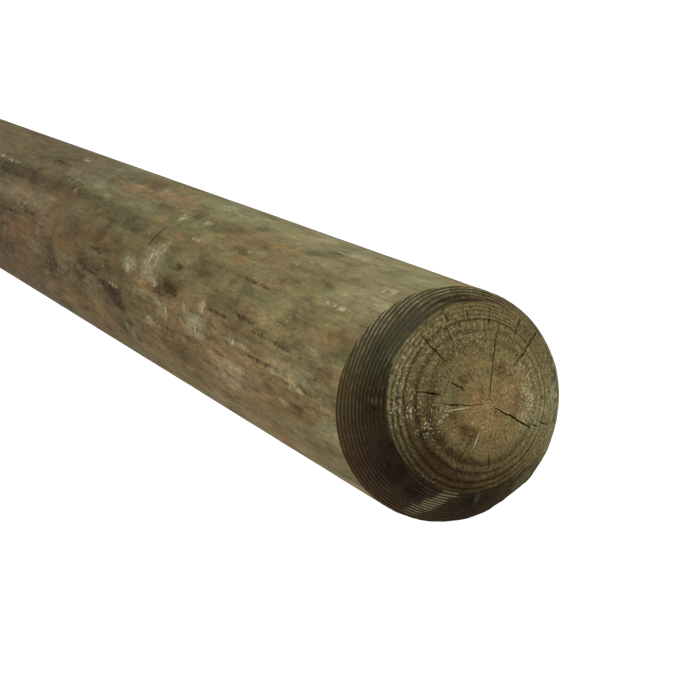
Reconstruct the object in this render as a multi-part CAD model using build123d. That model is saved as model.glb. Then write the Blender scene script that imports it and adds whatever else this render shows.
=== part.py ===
from build123d import *
import math
import os

# A machine-rounded, pressure-treated pine pole, all one piece of wood, standing on its foot.
# Millimetres. +Z runs up the pole, and the origin is the middle of the foot's sawn face.
# A bearing is an angle round the pole's centre line, in degrees from +X towards +Y.

# Shaft
POLE_LENGTH = 2400.0
POLE_RADIUS = 75.0

# Top: a cone chamfer, then a saw cut that is out of square. The slant takes most of the
# chamfer away on the downhill side and leaves it wide on the uphill side.
CHAMFER_ANGLE = 45.0
TOP_CHAMFER_WIDE = 26.6
TOP_CHAMFER_NARROW = 3.5
UPHILL_BEARING = -27.0

# Foot: the same chamfer, but with a square saw cut, so that the pole stands plumb.
FOOT_CHAMFER_WIDTH = 15.0

# Growth rings show on both chamfers, where the soft early wood has worn back and the hard
# late wood stands proud. Out there the rings are round a line that is off the pole's centre,
# so they run out at the chamfer's lower edge. They are 1.6 mm wide, and every second one is cut.
RING_CENTRE_X = -3.0
RING_CENTRE_Y = 3.0
RING_SPACING = 3.2
EARLY_WOOD_WIDTH = 1.5
RING_RELIEF = 0.7

# Pith, where the log grew from, off the pole's centre line.
PITH_X = -10.6
PITH_Y = 18.3

# Drying checks in a sawn end. Each has its bearing from the pith, where it starts and stops
# as a share of the way from the pith to the rim, its width and its depth down the grain.
CHECKS = {
    "long_check": (-162.5, 0.07, 0.77, 1.1, 22.0),
    "rim_check": (165.5, 0.52, 0.96, 1.9, 26.0),
    "cross_check": (86.5, 0.09, 0.76, 1.4, 24.0),
    "cross_check_end": (95.5, 0.80, 0.96, 0.9, 10.0),
    "pith_check": (-61.0, 0.08, 0.39, 0.8, 12.0),
    "ring_check": (-76.0, 0.46, 0.78, 1.0, 16.0),
    "quarter_check": (-108.0, 0.56, 0.93, 1.1, 18.0),
    "upper_quarter_check": (-124.7, 0.71, 0.95, 0.9, 12.0),
    "inner_check": (-95.0, 0.26, 0.41, 0.9, 9.0),
    "crown_check": (-155.5, 0.82, 0.96, 0.7, 8.0),
    "rim_end_check": (-177.0, 0.83, 0.96, 0.7, 8.0),
    "low_check": (-5.0, 0.46, 0.63, 0.7, 8.0),
    "far_check": (25.0, 0.55, 0.77, 0.7, 7.0),
}
# The foot dried by itself, so its checks are turned from those of the top.
FOOT_CHECK_TURN = 130.0

# Flat where the log was too lean to clean up round. It fades out down the shaft.
FLAT_BEARING = 60.0
FLAT_DEPTH = 2.1
FLAT_LENGTH = 420.0

# How far a cutting shape reaches past the wood that it cuts.
CUT_MARGIN = 1.0

chamfer_slope = math.tan(math.radians(CHAMFER_ANGLE))
chamfer_base = POLE_LENGTH - TOP_CHAMFER_WIDE * chamfer_slope
pith = Vector(PITH_X, PITH_Y)
ring_centre = Vector(RING_CENTRE_X, RING_CENTRE_Y)

# The saw went in at the uphill point of the rim and came out at the downhill one.
uphill = Vector(1, 0).rotate(Axis.Z, UPHILL_BEARING)
uphill_point = uphill * (POLE_RADIUS - TOP_CHAMFER_WIDE) + Vector(0, 0, POLE_LENGTH)
downhill_height = chamfer_base + TOP_CHAMFER_NARROW * chamfer_slope
downhill_point = uphill * (TOP_CHAMFER_NARROW - POLE_RADIUS) + Vector(0, 0, downhill_height)
level = Vector(0, 0, 1).cross(uphill)
top_cut = Plane(uphill_point, z_dir=(uphill_point - downhill_point).cross(level))
foot_cut = Plane(origin=(0, 0, 0), z_dir=(0, 0, -1))


def on_cut(cut, point):
    """The point of a saw cut that is straight above or below another point."""
    normal = cut.z_dir
    drop = (point - cut.origin).dot(normal) / normal.Z
    return point - Vector(0, 0, drop)


def round_wood():
    """The shaft and its two chamfers, turned in one, with the top not yet sawn off."""
    over_top = POLE_LENGTH + CUT_MARGIN
    half_outline = Polyline(
        (0, 0),
        (POLE_RADIUS - FOOT_CHAMFER_WIDTH, 0),
        (POLE_RADIUS, FOOT_CHAMFER_WIDTH * chamfer_slope),
        (POLE_RADIUS, chamfer_base),
        (POLE_RADIUS - (over_top - chamfer_base) / chamfer_slope, over_top),
        (0, over_top),
        close=True,
    )
    return revolve(Plane.XZ * make_face(half_outline), Axis.Z)


def chamfer_skin(width):
    """The wood just under a chamfer, as deep as the rings are worn, for a chamfer that rises from z = 0."""
    relief_drop = RING_RELIEF / math.cos(math.radians(CHAMFER_ANGLE))
    margin_rise = CUT_MARGIN / math.cos(math.radians(CHAMFER_ANGLE))
    outside = POLE_RADIUS + relief_drop / chamfer_slope + CUT_MARGIN
    inside = POLE_RADIUS - width - CUT_MARGIN
    outside_height = (POLE_RADIUS - outside) * chamfer_slope
    inside_height = (POLE_RADIUS - inside) * chamfer_slope
    profile = Polyline(
        (outside, outside_height - relief_drop),
        (outside, outside_height + margin_rise),
        (inside, inside_height + margin_rise),
        (inside, inside_height - relief_drop),
        close=True,
    )
    return revolve(Plane.XZ * make_face(profile), Axis.Z)


def worn_rings(width):
    """The bands of early wood that have worn back out of a chamfer that rises from z = 0."""
    off_centre = ring_centre.length
    smallest = POLE_RADIUS - width - off_centre
    largest = POLE_RADIUS + off_centre
    skin = chamfer_skin(width)
    skin_box = skin.bounding_box()
    tube_height = skin_box.size.Z + 2 * CUT_MARGIN
    to_tube = Pos(ring_centre.X, ring_centre.Y, skin_box.min.Z - CUT_MARGIN)
    bands = []
    for ring in range(math.floor((largest - smallest) / RING_SPACING) + 1):
        inner = smallest + ring * RING_SPACING
        band = Circle(inner + EARLY_WOOD_WIDTH) - Circle(inner)
        tube = to_tube * extrude(band, tube_height)
        bands.append(tube & skin)
    return bands


def distance_to_rim(cut, bearing):
    """How far the rim of a sawn face is from the pith along a bearing."""
    direction = Vector(1, 0).rotate(Axis.Z, bearing)
    outward = 1 if cut.z_dir.Z > 0 else -1
    cone_base = chamfer_base if outward > 0 else FOOT_CHAMFER_WIDTH * chamfer_slope
    start = on_cut(cut, pith)
    climb = (on_cut(cut, pith + direction) - start).Z * outward
    # The rim is where the cone's radius has shrunk to the distance from the centre line.
    cone_radius = POLE_RADIUS - (start.Z - cone_base) * outward / chamfer_slope
    shrink = climb / chamfer_slope
    along = pith.dot(direction) + cone_radius * shrink
    curve = 1 - shrink**2
    return (math.sqrt(along**2 + curve * (cone_radius**2 - pith.dot(pith))) - along) / curve


def drying_check(cut, bearing, start, stop, width, depth):
    """A split that opens in a sawn face and closes to a point down the grain."""
    outward = Vector(0, 0, 1 if cut.z_dir.Z > 0 else -1)
    direction = Vector(1, 0).rotate(Axis.Z, bearing)
    half_width = Vector(0, 1).rotate(Axis.Z, bearing) * width / 2
    rim = distance_to_rim(cut, bearing)
    inner = pith + direction * start * rim
    outer = pith + direction * stop * rim
    middle = (inner + outer) / 2
    corners = [on_cut(cut, point) for point in (inner, middle + half_width, outer, middle - half_width)]
    near_side = ThreePointArc(corners[0], corners[1], corners[2])
    far_side = ThreePointArc(corners[2], corners[3], corners[0])
    mouth = Pos(*(outward * CUT_MARGIN)) * make_face([near_side, far_side])
    closing_point = on_cut(cut, middle) - outward * depth
    return loft([mouth, Vertex(*closing_point)])


def all_checks(cut, turn):
    """Every drying check of one end, each turned about the pith by the same angle."""
    return [drying_check(cut, bearing + turn, *sizes) for bearing, *sizes in CHECKS.values()]


def lean_flat():
    """The wedge that is missing from the shaft where the log was too lean."""
    inside = POLE_RADIUS - FLAT_DEPTH
    outside = POLE_RADIUS + CUT_MARGIN
    run_out = POLE_LENGTH - FLAT_LENGTH
    # The cutting plane keeps its slope past the pole's end and past its surface.
    slope = FLAT_DEPTH / FLAT_LENGTH
    high = POLE_LENGTH + CUT_MARGIN
    profile = Polyline(
        (inside - slope * CUT_MARGIN, high),
        (outside, run_out - CUT_MARGIN / slope),
        (outside, high),
        close=True,
    )
    radial_plane = Plane(origin=(0, 0, 0), x_dir=(1, 0, 0), z_dir=(0, -1, 0))
    wedge = extrude(radial_plane * make_face(profile), POLE_RADIUS, both=True)
    return Rot(0, 0, FLAT_BEARING) * wedge


def pole():
    """The whole pole: round wood, sawn off at a slant, worn along its rings, flattened and split."""
    sawn = split(round_wood(), bisect_by=top_cut, keep=Keep.BOTTOM)
    top_rings = [Pos(0, 0, chamfer_base) * band for band in worn_rings(TOP_CHAMFER_WIDE)]
    to_foot = Pos(0, 0, FOOT_CHAMFER_WIDTH * chamfer_slope)
    foot_rings = [to_foot * mirror(band, about=Plane.XY) for band in worn_rings(FOOT_CHAMFER_WIDTH)]
    checks = all_checks(top_cut, 0) + all_checks(foot_cut, FOOT_CHECK_TURN)
    return sawn - [*top_rings, *foot_rings, *checks, lean_flat()]


os.makedirs("parts", exist_ok=True)
export_step(pole(), "parts/pole.step")
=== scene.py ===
import math

import bpy
import numpy as np
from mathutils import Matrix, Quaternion, Vector


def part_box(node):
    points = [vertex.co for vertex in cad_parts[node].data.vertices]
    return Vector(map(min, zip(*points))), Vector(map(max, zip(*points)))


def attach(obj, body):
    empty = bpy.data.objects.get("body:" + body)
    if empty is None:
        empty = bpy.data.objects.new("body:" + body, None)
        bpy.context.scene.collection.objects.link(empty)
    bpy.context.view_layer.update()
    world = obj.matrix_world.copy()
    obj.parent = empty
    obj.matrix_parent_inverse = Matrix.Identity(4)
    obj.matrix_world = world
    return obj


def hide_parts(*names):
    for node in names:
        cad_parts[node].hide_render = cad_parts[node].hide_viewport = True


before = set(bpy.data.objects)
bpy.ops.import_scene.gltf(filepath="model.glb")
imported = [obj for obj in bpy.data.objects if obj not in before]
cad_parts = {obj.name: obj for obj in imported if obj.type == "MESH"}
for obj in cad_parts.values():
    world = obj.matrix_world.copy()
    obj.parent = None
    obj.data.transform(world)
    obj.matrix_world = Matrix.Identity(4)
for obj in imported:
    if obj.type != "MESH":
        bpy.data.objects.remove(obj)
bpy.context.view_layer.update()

# The wood is worked out in millimetres in the pole's own frame, and MM turns it into metres.
# A bearing is an angle round the pole's centre line, in degrees from +X towards +Y.
MM = 0.001
pole_low, pole_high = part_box("pole")
POLE_LENGTH = pole_high.z / MM
POLE_RADIUS = (pole_high.y - pole_low.y) / 2 / MM

# Both chamfers are 45 degree cones. A slanted saw cut ends the top, a square one the foot.
TOP_CHAMFER_WIDE = 26.6
TOP_CHAMFER_NARROW = 3.5
FOOT_CHAMFER_WIDTH = 15.0
UPHILL = math.radians(-27.0)
TOP_SHOULDER = POLE_LENGTH - TOP_CHAMFER_WIDE
SAW_RUN = 2 * POLE_RADIUS - TOP_CHAMFER_WIDE - TOP_CHAMFER_NARROW
SAW_SLOPE = (TOP_CHAMFER_WIDE - TOP_CHAMFER_NARROW) / SAW_RUN
SAW_HEIGHT = POLE_LENGTH - SAW_SLOPE * (POLE_RADIUS - TOP_CHAMFER_WIDE)

# The flat where the log was too lean to clean up round.
FLAT_BEARING = math.radians(60.0)
FLAT_DEPTH = 2.1
FLAT_LENGTH = 420.0

# Growth rings are round the pith in the middle and drift off it outwards: the radius of some
# rings, and where the middle of each is.
RING_RADII = (0.0, 20.0, 37.5, 50.0, 62.0, 80.0)
RING_MIDDLE_X = (-10.6, -10.6, -10.5, -9.5, -5.0, -3.0)
RING_MIDDLE_Y = (18.3, 16.5, 13.7, 8.0, 4.0, 3.0)
PITH_X = RING_MIDDLE_X[0]
PITH_Y = RING_MIDDLE_Y[0]
# Where the late wood of the wide inner rings ends. Past the last of them every ring is narrow.
RING_ENDS = (0.0, 21.0, 38.5, 44.5, 50.4, 53.4, 56.0, 58.4)
NARROW_RING = 1.6
CRISP_RING = 4.0
CRISP_RING_WIDTH = 0.35
PITH_CRACK_RADIUS = 3.4
PITH_CRACK_BEARING = math.radians(-150.0)
# Waves in the rings: height, how many go round the pith, and how they turn as the radius grows. They
# have their full height from RING_WAVE_RADIUS outwards.
RING_WAVES = ((0.21, 3, 0.09), (0.15, 5, -0.13))
RING_WAVE_RADIUS = 40
# The outer rings bulge inwards on one side, so more of them run out at the chamfer's edge there: the
# bearings where the bulge starts, peaks and stops, and the radii that it grows between.
BULGE_DEPTH = 5.0
BULGE_BEARINGS = (-78.0, -150.0, -235.0)
BULGE_RADII = (58.0, 73.0)

# Humps by bearing: the height, bearing and half width of each. They make the top's rim uneven, and
# tell where the rings of a sawn face show clearly and where the face is dark.
RIM_HUMPS = ((3.3, 85, 11), (-2.2, 122, 11), (1.0, -100, 14))
CLEAR_RING_HUMPS = ((0.45, -15, 55), (-0.35, -125, 40))
DARK_FACE_HUMPS = ((1.0, -12, 60), (0.1, -130, 40), (0.25, 55, 25))

# Detail of the meshes: points in each loop, and loops down each part of the pole.
COLUMNS = 560
FACE_ROWS = 92
CHAMFER_ROWS = 74
UPPER_ROWS = 168
UPPER_ROW_GROWTH = 1.006
FOOT_FACE_ROWS = 36
FOOT_CHAMFER_ROWS = 30
LOWER_ROWS = 100
# How far the end meshes run down the shaft, and where its upper mesh meets its lower one.
END_OVERLAP = 6.0
END_OVERLAP_ROWS = 3
SPLIT_HEIGHT = 1150.0

# How deep the early wood is worn back, and how deep the shaft's small tears, scuffs and dents go.
CHAMFER_RELIEF = 0.8
FACE_RELIEF = 0.14
TEAR_DEPTH = 0.5
SCUFF_DEPTH = 0.6
DENT_DEPTH = 0.45

# Drying checks in a sawn end: bearing, start and stop from the pith, width, depth, and how far
# the middle bows to the left.
CHECKS = (
    (-162.5, 3.5, 48.5, 0.4, 4, 0.5), (167.5, 27.5, 60, 0.6, 6, -0.9), (86.5, 4.3, 34.5, 0.6, 6, 0.6),
    (91, 34.5, 38.5, 0.4, 3, 0.2), (96.5, 37.5, 46, 0.35, 3, -0.3), (-68, 4, 33, 0.3, 3, 0.4),
    (-68.5, 22, 28, 0.6, 3, 0.3), (-76, 33, 56, 0.3, 2.5, -0.8), (-77, 35.5, 46, 0.4, 3, -0.6),
    (-108, 40, 66.5, 0.4, 2.5, 0.5), (-126, 59, 68.5, 0.35, 2.5, 0), (-123, 45, 58.5, 0.25, 2, 0.3),
    (-95, 19, 30.5, 0.5, 4, 0.3), (-119, 18.5, 24.5, 0.3, 2, 0), (-155.5, 48, 62, 0.35, 3, 0.2),
    (-140, 56, 60.5, 0.3, 2, 0), (-178.5, 46, 64, 0.25, 3, 0.2), (-8, 27, 41, 0.4, 3, 0.4),
    (-8, 31, 36, 0.5, 3, 0.5), (25, 29, 41, 0.3, 2.5, 0.2),
)
FOOT_CHECK_TURN = 130.0
# How far from a check's line it is still the nearest one, and how soft its edge is.
CHECK_REACH = 1.6
CHECK_EDGE = 0.25

# Stains, wear and painted shade on the shaft, as they are in the photo: bearing, height, half width round
# the shaft, half length along it and strength. Each kind changes the wood's colour in a way of its own.
SHAFT_MARKS = {
    # Broad soft painted shade: three long patches on the far part, then a row down to the chamfer.
    "dim": (
        (-110, 1330, 7, 115, 0.9), (-110, 1530, 7, 130, 0.7), (-108, 1710, 9, 110, 1),
        (-88, 1730, 12, 110, 0.8), (-74, 1740, 8, 85, 0.8), (-62, 1800, 10, 50, 0.9),
        (-86, 1410, 6, 65, 0.6), (-58, 1570, 13, 20, 0.6), (-134, 1400, 5, 30, 0.6),
        (-104, 1868, 5, 25, 0.7), (-82, 1960, 7, 25, 0.9), (-46, 2000, 6, 45, 0.6), (-42, 1810, 7, 30, 0.6),
        (-86, 2090, 6, 30, 0.6), (-92, 2345, 9, 30, 0.75), (-50, 2300, 5, 25, 0.5),
    ),
    # Broad bleached places: round the nick, and in the last hand's width before the chamfer.
    "pale": (
        (-92, 1380, 8, 100, 0.6), (-126, 1560, 6, 110, 0.4), (-89, 1898, 11, 26, 0.8),
        (-84, 1840, 6, 25, 0.6), (-70, 1920, 3, 45, 0.5), (-68, 2050, 10, 25, 0.8), (-52, 2140, 9, 45, 0.8),
        (-68, 2270, 5, 35, 0.6), (-148, 2220, 4, 30, 0.7), (-118, 2330, 9, 45, 0.5), (-71, 2315, 4, 20, 0.6),
        (-52, 2360, 6, 20, 0.5),
    ),
    # Orange-brown spots, most of them high on the lit side.
    "rust": (
        (-146, 1100, 5, 115, 0.5), (-148, 1240, 3, 60, 0.6), (-134, 1670, 5, 100, 0.5),
        (-150, 1830, 3, 45, 0.7), (-112, 2090, 4, 25, 0.8), (-132, 2130, 4, 30, 0.9),
        (-146, 2240, 2, 15, 0.8), (-72, 1440, 6, 40, 0.5), (-74, 1610, 5, 50, 0.8), (-80, 1790, 3, 30, 0.6),
        (-34, 1770, 5, 25, 0.6), (-78, 2150, 3, 30, 0.5),
    ),
    # Dark brown hollows: a slanting row below the nick, a patch beside it and a row towards the end.
    "shade": (
        (-69, 1690, 2, 20, 1.1), (-67, 1730, 2, 25, 1.1), (-64, 1770, 3, 20, 1.1), (-62, 1800, 5, 30, 1),
        (-56, 1820, 5, 30, 0.9), (-54, 1830, 4, 12, 1.1), (-47, 1850, 4, 10, 1.1), (-38, 1860, 6, 9, 1),
        (-60, 1690, 8, 20, 0.9), (-58, 1590, 6, 10, 0.9), (-82, 1740, 3, 20, 0.9), (-76, 1940, 3, 35, 1),
        (-80, 1970, 5, 30, 1), (-94, 1970, 3, 15, 1.1), (-80, 2100, 1.5, 30, 1.1), (-84, 2160, 2.5, 25, 1),
        (-80, 2210, 1.5, 28, 0.9), (-80, 2250, 2.5, 20, 1), (-54, 2290, 2, 25, 1), (-64, 2300, 2, 30, 0.8),
        (-67, 2220, 1.5, 60, 0.9), (-104, 2150, 1.5, 40, 0.9), (-84, 1460, 1.5, 30, 0.9),
        (-80, 1390, 1.5, 35, 0.9), (-130, 1410, 4, 30, 0.8), (-106, 1280, 4, 45, 0.9),
    ),
    # Pale torn fibres: below the nick, above it, beside the dark patch and in the last hand's width.
    "scuff": (
        (-94, 1900, 11, 15, 0.9), (-100, 1910, 9, 10, 0.7), (-86, 1890, 8, 10, 0.8), (-80, 1920, 5, 14, 0.8),
        (-83, 1840, 6, 14, 1), (-66, 1960, 6, 20, 0.7), (-56, 1920, 5, 15, 0.7), (-66, 1800, 2, 20, 0.8),
        (-42, 1830, 4, 6, 0.8), (-126, 1880, 6, 14, 0.8), (-128, 1940, 3, 10, 0.9), (-114, 1960, 2, 12, 0.9),
        (-80, 2060, 6, 8, 1), (-67, 2050, 7, 18, 1), (-74, 2020, 4, 10, 0.9), (-70, 2160, 2, 25, 1.2),
        (-56, 2160, 1.5, 15, 1), (-66, 2250, 2, 18, 1.2), (-63, 2290, 2, 16, 1.2), (-52, 2260, 3, 8, 1),
        (-110, 2300, 2, 15, 1), (-110, 2320, 2, 8, 0.8), (-130, 2340, 3, 15, 0.9), (-146, 2190, 1, 10, 0.9),
        (-144, 1450, 1, 20, 1), (-116, 1250, 2, 65, 0.7),
    ),
    # Tan wood, mostly down the low side.
    "tan": (
        (-154, 1090, 9, 125, 0.7), (-90, 1410, 10, 100, 0.8), (-68, 1460, 15, 95, 1),
        (-44, 1420, 9, 80, 0.7), (-80, 1600, 8, 85, 1), (-40, 1660, 14, 130, 0.9), (-136, 1760, 7, 120, 0.6),
        (-74, 1900, 4, 35, 1), (-38, 1900, 8, 105, 0.7), (-56, 2190, 19, 130, 1), (-26, 2230, 9, 75, 0.9),
        (-90, 2170, 6, 45, 0.5),
    ),
    # Grey-green algae on the side that shows most.
    "moss": (
        (-116, 1440, 8, 200, 0.6), (-96, 1560, 5, 90, 0.5), (-124, 1640, 6, 80, 0.6),
        (-44, 1850, 4, 45, 0.6), (-120, 1920, 7, 65, 0.8), (-94, 1940, 9, 50, 0.7), (-142, 1940, 4, 75, 0.5),
        (-98, 2190, 9, 90, 0.5), (-112, 2130, 7, 65, 0.5), (-64, 2320, 5, 30, 0.6), (-88, 2370, 11, 20, 0.8),
        (-52, 2350, 4, 15, 0.7),
    ),
}
# The nick that something sharp left across the grain: x and height of its two ends.
NICK_FROM = (-9.0, 1868.0)
NICK_TO = (-31.0, 1873.0)
NICK_WIDTH = 2.6

# Stains of the top's sawn face: x, y, half width outwards, half width round the pith and strength.
FACE_SPOTS = {
    "rust": ((-39, -10, 8, 14, 0.4), (-30, 33, 7, 8, 0.3), (-9, 8, 3, 5, 0.5), (-32, -6, 4, 5, 0.5)),
    "shade": (
        (10, 13, 5, 7, 1.1), (-33, 16.5, 4, 5, 1), (1.5, -19.5, 1.5, 14, 0.8), (-24, 33.6, 3, 6, 0.5),
        (31, 12.5, 1.2, 1.2, 1), (29, 40.7, 1.2, 1.2, 0.9), (-3, -38.8, 1, 1.6, 0.9), (25, 20, 2.2, 11, 0.6),
        (12, -25, 10, 3, 0.5), (-17.5, -5.4, 3, 3.5, 1),
    ),
    "scuff": ((-27, 43, 3, 16, 0.6), (-43, 32, 4, 7, 0.5), (-14, 45, 4, 6, 0.6), (-6, -46, 5, 22, 0.4)),
    "tan": ((-4, 14, 8, 12, 0.6), (-30, 30, 10, 12, 0.4), (-8, 38, 9, 14, 0.4)),
    "moss": (
        (-26, 6.5, 5, 3.5, 0.9), (-8, 36, 3, 4, 0.9), (25, -12.7, 2, 2, 0.9), (37, -17, 2.5, 2, 0.8),
        (-9, -10, 4, 5, 0.7),
    ),
    "fleck": (
        (4, -13, 8, 9, 0.9), (10, -33, 7, 8, 1), (16, -15, 8, 7, 0.9), (-27, 43, 5, 20, 0.9),
        (-43, 32, 6, 9, 0.7), (-14, 45, 6, 9, 0.8), (-46, -10, 9, 14, 0.4), (-30, -34, 6, 12, 0.5),
        (2, -46, 5, 24, 0.7),
    ),
}
# Stains of the top's chamfer: bearing, radius, half width up it, half width round it and strength.
CHAMFER_PATCHES = {
    "moss": ((-109, 58, 4, 10, 0.9), (-122, 63, 3, 8, 0.3), (125, 71, 3, 30, 0.7)),
    "scuff": (
        (19, 51, 4, 5, 1.1), (15, 57, 5, 4, 1.1), (11, 63, 5, 5, 0.9), (6, 69, 5, 6, 0.6),
        (70, 69, 4, 10, 0.7), (40, 58, 6, 2, 0.6), (-72, 57, 5, 3, 0.35),
    ),
    "shade": (
        (-38, 52, 6, 12, 0.7), (-23, 55, 7, 12, 0.8), (-4, 57, 5, 7, 0.9), (-159, 68, 2.2, 26, 0.8),
        (-75, 56, 5, 12, 0.6), (36, 62, 7, 16, 0.6), (-58, 56, 6, 12, 0.35), (31, 62, 6, 4, 0.7),
        (-118, 55, 2.5, 14, 0.8),
    ),
    "fleck": ((-78, 57, 4, 3, 0.9), (-30, 60, 5, 8, 0.5)),
}
# Where the chamfer is worn smooth, so that its rings hardly stand proud, in the same terms.
SMOOTH_PATCHES = (
    (-122, 62, 5, 22, 0.75), (-40, 53, 8, 18, 0.8), (-20, 53, 6, 10, 0.7), (-160, 68, 2, 22, 0.4),
    (-75, 56, 6, 16, 0.4), (-52, 71.5, 3, 40, 0.4),
)
# Pale splinters that stand up along the checks: from and to, in the face's own x and y.
SPLINTERS = (((5.0, -9.2), (-5.0, 8.0)), ((7.0, 19.4), (18.4, 19.2)))
SPLINTER_WIDTH = 0.3
SPLINTER_EDGE = 0.2
SPLINTER_HEIGHT = 0.35

# A mark shows in full well inside its half widths and ends at this many of them.
MARK_END = 1.6

STAINS = ("rust", "shade", "scuff", "tan", "moss", "fleck")
# The general scatter of each stain: how large its blotches are, and its strength.
SHAFT_SCATTER = {
    "rust": (20.0, 0.3), "shade": (26.0, 0.3), "scuff": (16.0, 0.4), "tan": (40.0, 0.6), "moss": (34.0, 0.6)
}
FACE_SCATTER = {"rust": (16.0, 0.2), "moss": (16.0, 0.5), "shade": (14.0, 0.4), "fleck": (18.0, 0.4)}
CHAMFER_SCATTER = {"moss": (15.0, 0.4), "shade": (13.0, 0.4), "fleck": (12.0, 0.2)}

# Large odd numbers that scatter the points of a lattice, and two rounds of mixing after them.
HASH_STEPS = (73856093, 19349663, 83492791, 2654435)
HASH_ROUNDS = ((13, 1274126177), (15, 1103515245))
# Each layer of noise has this share of the one before, and its own place and seed.
LAYER_SHARE = 0.55
LAYER_SHIFT = 31.7
LAYER_SEED_STEP = 17


def unit_hash(x, y, z, seed):
    """A repeatable number from -1 to 1 for every point of a whole-number lattice."""
    by_x, by_y, by_z, by_seed = HASH_STEPS
    mixed = x * by_x ^ y * by_y ^ z * by_z ^ np.int64(seed * by_seed)
    for shift, factor in HASH_ROUNDS:
        mixed = (mixed ^ (mixed >> shift)) * factor & 0x7FFFFFFF
    return (mixed & 0xFFFFF) / 0x7FFFF - 1.0


def lattice_noise(x, y, z, seed):
    """Smooth noise from -1 to 1, with features one unit across."""
    corners = [np.floor(v).astype(np.int64) for v in (x, y, z)]
    shares = [v - c for v, c in zip((x, y, z), corners)]
    eased = [s * s * (3 - 2 * s) for s in shares]
    total = 0
    for dx, dy, dz in np.ndindex(2, 2, 2):
        weight = 1
        for step, share in zip((dx, dy, dz), eased):
            weight = weight * (share if step else 1 - share)
        total = total + weight * unit_hash(corners[0] + dx, corners[1] + dy, corners[2] + dz, seed)
    return total


def cloud(points, size, seed, octaves=3, stretch=1.0):
    """Layered noise. Its blotches are size across, and stretch times longer down the grain."""
    total = 0
    reach = 0
    for octave in range(octaves):
        fine = 2**octave / size
        share = LAYER_SHARE**octave
        x, y, z = (points[..., axis] * fine for axis in range(3))
        layer = lattice_noise(x + LAYER_SHIFT * octave, y, z / stretch, seed + LAYER_SEED_STEP * octave)
        total = total + share * layer
        reach += share
    return total / reach


def smooth_step(value, low, high):
    """0 at low, 1 at high and eased between them. Low may be the larger of the two."""
    share = np.clip((value - low) / (high - low), 0, 1)
    return share * share * (3 - 2 * share)


def angles_of(points):
    return np.arctan2(points[:, 1], points[:, 0])


def turn_between(angles, bearing):
    """The angle from a bearing in degrees to each of some angles, in radians."""
    return np.angle(np.exp(1j * (angles - math.radians(bearing))))


def hump(angles, bearing, half_width):
    """1 at a bearing, fading to 0 on both sides of it."""
    return np.exp(-((np.degrees(turn_between(angles, bearing)) / half_width) ** 2))


def humps(angles, rows, level=0.0):
    """A level with humps added to it."""
    return sum((height * hump(angles, bearing, half_width) for height, bearing, half_width in rows), level)


def turned(x, y, angle):
    """How far a point lies along a direction, and how far to the left of it."""
    return x * math.cos(angle) + y * math.sin(angle), y * math.cos(angle) - x * math.sin(angle)


def from_pith(x, y):
    """The bearing of a point from the pith, in radians, and its distance."""
    return np.arctan2(y - PITH_Y, x - PITH_X), np.hypot(x - PITH_X, y - PITH_Y)


def ring_radius(x, y):
    """The radius of the growth ring that passes through a point across the pole."""
    radius = np.hypot(x - RING_MIDDLE_X[3], y - RING_MIDDLE_Y[3])
    for _ in range(12):
        middle_x = np.interp(radius, RING_RADII, RING_MIDDLE_X)
        middle_y = np.interp(radius, RING_RADII, RING_MIDDLE_Y)
        radius = 0.5 * radius + 0.5 * np.hypot(x - middle_x, y - middle_y)
    bearing = np.degrees(np.arctan2(y, x))
    bearing = np.where(bearing > 90, bearing - 360, bearing)
    start, peak, stop = BULGE_BEARINGS
    bulge = smooth_step(-bearing, -start, -peak) * smooth_step(-bearing, -stop, -peak)
    return radius - BULGE_DEPTH * bulge * smooth_step(np.hypot(x, y), *BULGE_RADII)


def ring_number(x, y):
    """How many growth rings lie between the pith and a point."""
    radius = ring_radius(x, y)
    theta, _ = from_pith(x, y)
    waves = sum(height * np.sin(count * theta + turn * radius) for height, count, turn in RING_WAVES)
    radius = radius + waves * np.clip(radius / RING_WAVE_RADIUS, 0, 1)
    inner = np.interp(radius, RING_ENDS, np.arange(len(RING_ENDS)))
    return inner + np.maximum(radius - RING_ENDS[-1], 0) / NARROW_RING


def ring_clearness(x, y):
    """How clearly the rings of a sawn face show: best at its lower side and at one crisp ring."""
    theta, distance = from_pith(x, y)
    crisp = np.exp(-(((ring_number(x, y) - CRISP_RING) / CRISP_RING_WIDTH) ** 2))
    side = humps(theta, CLEAR_RING_HUMPS, 0.5) + 0.3 * smooth_step(distance, 44.0, 50.0)
    return np.clip(side * smooth_step(distance, 12.0, 34.0) + 0.6 * crisp, 0, 1)


def pore_rows(x, y):
    """Where dark pores and pale dots stand in rows along the rings: mostly far out on one side."""
    theta, distance = from_pith(x, y)
    return np.clip(hump(theta, -95, 60) * smooth_step(distance, 26.0, 40.0) + 0.25, 0, 1)


def early_wood(x, y):
    """1 in the soft early wood of a ring, 0 on the hard ridge of its late wood."""
    share = np.mod(ring_number(x, y), 1.0)
    return 1 - np.abs(2 * share - 1) ** 2.5


def slanted_cut(x, y):
    """The height of the saw cut at the top."""
    return SAW_HEIGHT + SAW_SLOPE * (x * math.cos(UPHILL) + y * math.sin(UPHILL))


def square_cut(x, y):
    """The height of the saw cut at the foot."""
    return np.zeros_like(x)


def top_rim(angles):
    """The radius at which the slanted saw cut meets the chamfer, with its unevenness."""
    square = POLE_RADIUS + TOP_SHOULDER - SAW_HEIGHT
    return humps(angles, RIM_HUMPS, square / (1 + SAW_SLOPE * np.cos(angles - UPHILL)))


def strongest(marks, reach):
    """How strongly marks show, from 0 to about 1. Reach gives how far a mark is, in its half widths."""
    return np.max([mark[-1] * np.clip(MARK_END - np.hypot(*reach(*mark[:-1])), 0, 1) for mark in marks], 0)


def shaft_field(points, marks):
    def reach(bearing, height, around, along):
        aside = turn_between(angles_of(points), bearing) * POLE_RADIUS
        return aside / around, (points[:, 2] - height) / along

    return strongest(marks, reach)


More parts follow.
